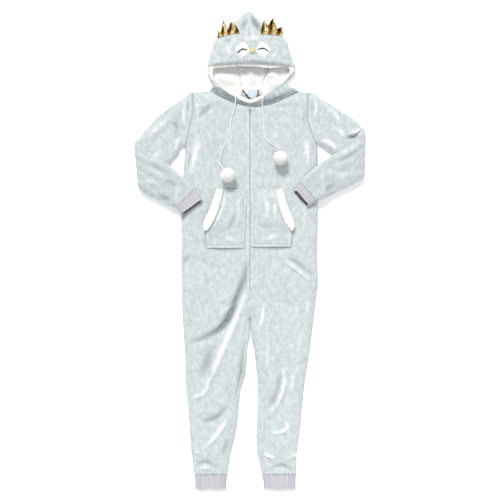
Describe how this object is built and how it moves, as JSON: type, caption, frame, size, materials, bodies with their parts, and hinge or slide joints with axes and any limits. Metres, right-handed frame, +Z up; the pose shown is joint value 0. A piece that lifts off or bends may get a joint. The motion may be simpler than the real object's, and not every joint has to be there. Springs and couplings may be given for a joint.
{
  "type": "owl onesie",
  "caption": "Hooded plush one-piece for an adult, zipped and laid flat with its forearms folded in, with an owl face on the hood, pockets, ribbed cuffs and pompom drawstrings.",
  "frame": {"origin": "on the surface, under the middle of the garment's outline", "axes": "+Z up off the surface, +Y from the ankles towards the hood, +X towards the wearer's left"},
  "size_m": [0.8101, 1.676, 0.0772],
  "materials": {
    "plush": "short-pile polyester plush, light cool grey, soft nap sheen",
    "sherpa": "white curly sherpa fleece",
    "rib": "2x2 ribbed knit, pale lilac-grey, matt",
    "zip_textile": "woven polyester zip tape and nylon coil, light grey",
    "zip_metal": "die-cast slider and pull tab, nickel finish",
    "felt": "white short-nap felt",
    "beak_cloth": "pale gold plush cloth",
    "gold_lame": "metallic gold lame, creased, glossy",
    "label_satin": "pale woven satin, bare",
    "dark_tape": "dark grey woven tape",
    "cord": "white braided cord",
    "pompom_yarn": "white fluffy yarn"
  },
  "bodies": {
    "garment": {"hood_shell_left": "plush", "hood_shell_right": "plush", "hood_lining_left": "sherpa", "hood_lining_right": "sherpa", "hood_lining_centre": "sherpa", "front_right": "plush", "front_left": "plush", "back_right": "plush", "back_left": "plush", "sleeve_right": "plush", "sleeve_left": "plush", "wrist_cuff_right": "rib", "wrist_cuff_left": "rib", "ankle_cuff_right": "rib", "ankle_cuff_left": "rib", "zip_tape": "zip_textile", "zip_chain": "zip_textile", "zip_slider": "zip_metal", "pocket_right": "plush", "pocket_left": "plush", "pocket_trim_right": "sherpa", "pocket_trim_left": "sherpa", "hood_casing": "plush", "eye_patch_right": "felt", "eye_patch_left": "felt", "beak": "beak_cloth", "ear_right": "gold_lame", "ear_left": "gold_lame", "neck_label": "label_satin", "hanging_loop": "dark_tape", "drawstring_right": "cord", "pompom_right": "pompom_yarn", "drawstring_left": "cord", "pompom_left": "pompom_yarn"},
    "pull_tab": {"zip_pull_tab": "zip_metal"}
  },
  "joints": [
    {"name": "pull_tab_turn", "type": "hinge", "parent": "garment", "child": "pull_tab", "pos_m": [0, 0.492, 0.02642], "axis": [-1, 0, 0], "range_deg": [0, 150]}
  ]
}
